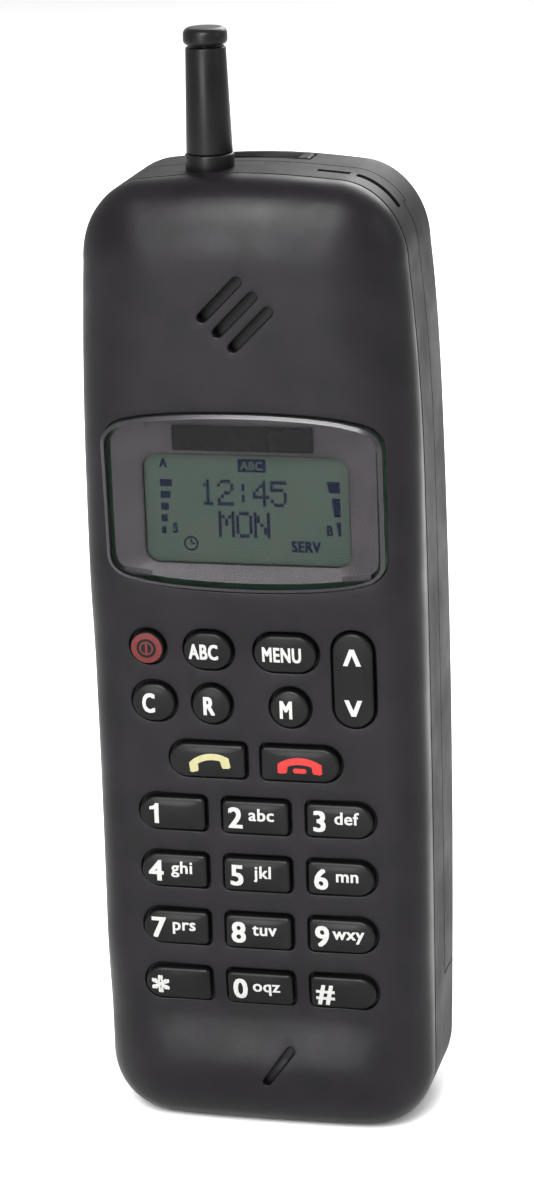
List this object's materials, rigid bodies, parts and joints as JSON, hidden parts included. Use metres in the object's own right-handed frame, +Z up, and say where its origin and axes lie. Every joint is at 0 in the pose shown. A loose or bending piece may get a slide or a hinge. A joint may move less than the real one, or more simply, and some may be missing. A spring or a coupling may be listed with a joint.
{
  "type": "mobile telephone",
  "caption": "Early hand-held mobile telephone: bowed charcoal body, display window, keypad, pull-out aerial and clip-on battery pack.",
  "frame": {"origin": "middle of the bounding box's lowest face, on the surface the phone stands on", "axes": "+Z up the phone towards the aerial, -Y towards the person facing the keypad, +X to that person's right"},
  "size_m": [0.059, 0.0447, 0.195],
  "materials": {
    "cover_plastic": "satin moulded charcoal, fine grain",
    "clear_window": "clear polished",
    "mask_black": "printed gloss black",
    "black_plastic": "matt moulded",
    "lcd_panel": "grey-green display",
    "light_guide": "frosted",
    "elastomer": "matt",
    "key_rubber": "satin",
    "steel": "tinned",
    "circuit_board": "solder resist",
    "cast_frame": "as cast",
    "ivory_plastic": "smooth",
    "rear_plastic": "spark-eroded texture",
    "battery_plastic": "smooth matt",
    "gold_contact": "gold flash",
    "antenna_plastic": "satin",
    "bright_metal": "bright",
    "cell_wrap": "shrink wrap"
  },
  "bodies": {
    "handset": {"front_cover": "cover_plastic", "display_window": "clear_window", "display_mask": "mask_black", "lcd_frame": "black_plastic", "lcd_glass": "lcd_panel", "lcd_backlight": "light_guide", "lcd_connector": "elastomer", "keypad_mat": "elastomer", "contact_domes": "steel", "keypad_board": "circuit_board", "earpiece": "black_plastic", "earpiece_gasket": "elastomer", "microphone": "steel", "microphone_boot": "elastomer", "chassis_frame": "cast_frame", "board_connector": "ivory_plastic", "main_board": "circuit_board", "rf_shield": "steel", "board_chips": "black_plastic", "ringer": "black_plastic", "rear_housing": "rear_plastic", "system_connector": "black_plastic", "connector_pins": "gold_contact", "antenna_socket": "gold_contact", "antenna_collar": "antenna_plastic", "antenna_sleeve": "antenna_plastic", "battery_terminals": "gold_contact", "sim_holder": "steel", "housing_screws": "steel"},
    "key_1_button": {"key_1": "key_rubber"},
    "key_2_button": {"key_2": "key_rubber"},
    "key_3_button": {"key_3": "key_rubber"},
    "key_4_button": {"key_4": "key_rubber"},
    "key_5_button": {"key_5": "key_rubber"},
    "key_6_button": {"key_6": "key_rubber"},
    "key_7_button": {"key_7": "key_rubber"},
    "key_8_button": {"key_8": "key_rubber"},
    "key_9_button": {"key_9": "key_rubber"},
    "key_star_button": {"key_star": "key_rubber"},
    "key_0_button": {"key_0": "key_rubber"},
    "key_hash_button": {"key_hash": "key_rubber"},
    "key_power_button": {"key_power": "key_rubber"},
    "key_abc_button": {"key_abc": "key_rubber"},
    "key_menu_button": {"key_menu": "key_rubber"},
    "key_clear_button": {"key_clear": "key_rubber"},
    "key_recall_button": {"key_recall": "key_rubber"},
    "key_memory_button": {"key_memory": "key_rubber"},
    "key_send_button": {"key_send": "key_rubber"},
    "key_end_button": {"key_end": "key_rubber"},
    "rocker": {"scroll_rocker": "key_rubber"},
    "antenna_whip": {"antenna_rod": "bright_metal", "antenna_cap": "antenna_plastic"},
    "battery_pack": {"battery_case": "rear_plastic", "battery_lid": "battery_plastic", "battery_cells": "cell_wrap", "battery_contacts": "gold_contact", "latch_spring": "steel"},
    "latch": {"release_latch": "black_plastic"},
    "subscriber_card": {"sim_card": "ivory_plastic"}
  },
  "joints": [
    {"name": "key_1_press", "type": "slide", "parent": "handset", "child": "key_1_button", "axis": [0, 1, 0], "range_m": [0, 0.0007], "stiffness_N_per_m": 1200},
    {"name": "key_2_press", "type": "slide", "parent": "handset", "child": "key_2_button", "axis": [0, 1, 0], "range_m": [0, 0.0007], "stiffness_N_per_m": 1200},
    {"name": "key_3_press", "type": "slide", "parent": "handset", "child": "key_3_button", "axis": [0, 1, 0], "range_m": [0, 0.0007], "stiffness_N_per_m": 1200},
    {"name": "key_4_press", "type": "slide", "parent": "handset", "child": "key_4_button", "axis": [0, 1, 0], "range_m": [0, 0.0007], "stiffness_N_per_m": 1200},
    {"name": "key_5_press", "type": "slide", "parent": "handset", "child": "key_5_button", "axis": [0, 1, 0], "range_m": [0, 0.0007], "stiffness_N_per_m": 1200},
    {"name": "key_6_press", "type": "slide", "parent": "handset", "child": "key_6_button", "axis": [0, 1, 0], "range_m": [0, 0.0007], "stiffness_N_per_m": 1200},
    {"name": "key_7_press", "type": "slide", "parent": "handset", "child": "key_7_button", "axis": [0, 1, 0], "range_m": [0, 0.0007], "stiffness_N_per_m": 1200},
    {"name": "key_8_press", "type": "slide", "parent": "handset", "child": "key_8_button", "axis": [0, 1, 0], "range_m": [0, 0.0007], "stiffness_N_per_m": 1200},
    {"name": "key_9_press", "type": "slide", "parent": "handset", "child": "key_9_button", "axis": [0, 1, 0], "range_m": [0, 0.0007], "stiffness_N_per_m": 1200},
    {"name": "key_star_press", "type": "slide", "parent": "handset", "child": "key_star_button", "axis": [0, 1, 0], "range_m": [0, 0.0007], "stiffness_N_per_m": 1200},
    {"name": "key_0_press", "type": "slide", "parent": "handset", "child": "key_0_button", "axis": [0, 1, 0], "range_m": [0, 0.0007], "stiffness_N_per_m": 1200},
    {"name": "key_hash_press", "type": "slide", "parent": "handset", "child": "key_hash_button", "axis": [0, 1, 0], "range_m": [0, 0.0007], "stiffness_N_per_m": 1200},
    {"name": "key_power_press", "type": "slide", "parent": "handset", "child": "key_power_button", "axis": [0, 1, 0], "range_m": [0, 0.0007], "stiffness_N_per_m": 1200},
    {"name": "key_abc_press", "type": "slide", "parent": "handset", "child": "key_abc_button", "axis": [0, 1, 0], "range_m": [0, 0.0007], "stiffness_N_per_m": 1200},
    {"name": "key_menu_press", "type": "slide", "parent": "handset", "child": "key_menu_button", "axis": [0, 1, 0], "range_m": [0, 0.0007], "stiffness_N_per_m": 1200},
    {"name": "key_clear_press", "type": "slide", "parent": "handset", "child": "key_clear_button", "axis": [0, 1, 0], "range_m": [0, 0.0007], "stiffness_N_per_m": 1200},
    {"name": "key_recall_press", "type": "slide", "parent": "handset", "child": "key_recall_button", "axis": [0, 1, 0], "range_m": [0, 0.0007], "stiffness_N_per_m": 1200},
    {"name": "key_memory_press", "type": "slide", "parent": "handset", "child": "key_memory_button", "axis": [0, 1, 0], "range_m": [0, 0.0007], "stiffness_N_per_m": 1200},
    {"name": "key_send_press", "type": "slide", "parent": "handset", "child": "key_send_button", "axis": [0, 1, 0], "range_m": [0, 0.0007], "stiffness_N_per_m": 1200},
    {"name": "key_end_press", "type": "slide", "parent": "handset", "child": "key_end_button", "axis": [0, 1, 0], "range_m": [0, 0.0007], "stiffness_N_per_m": 1200},
    {"name": "rocker_tilt", "type": "hinge", "parent": "handset", "child": "rocker", "pos_m": [0.018, -0.0157, 0.0849], "axis": [1, 0, 0], "range_deg": [-4, 4], "stiffness_Nm_per_rad": 0.12},
    {"name": "antenna_pull", "type": "slide", "parent": "handset", "child": "antenna_whip", "axis": [0, 0, 1], "range_m": [0, 0.098]},
    {"name": "battery_lift_off", "type": "slide", "parent": "handset", "child": "battery_pack", "axis": [0, 1, 0], "range_m": [0, 0.032]},
    {"name": "latch_press", "type": "slide", "parent": "battery_pack", "child": "latch", "axis": [0, 0, -1], "range_m": [0, 0.0015], "stiffness_N_per_m": 800, "deforming": ["latch_spring"]},
    {"name": "card_slide", "type": "slide", "parent": "handset", "child": "subscriber_card", "axis": [0, 0, -1], "range_m": [0, 0.012]}
  ]
}
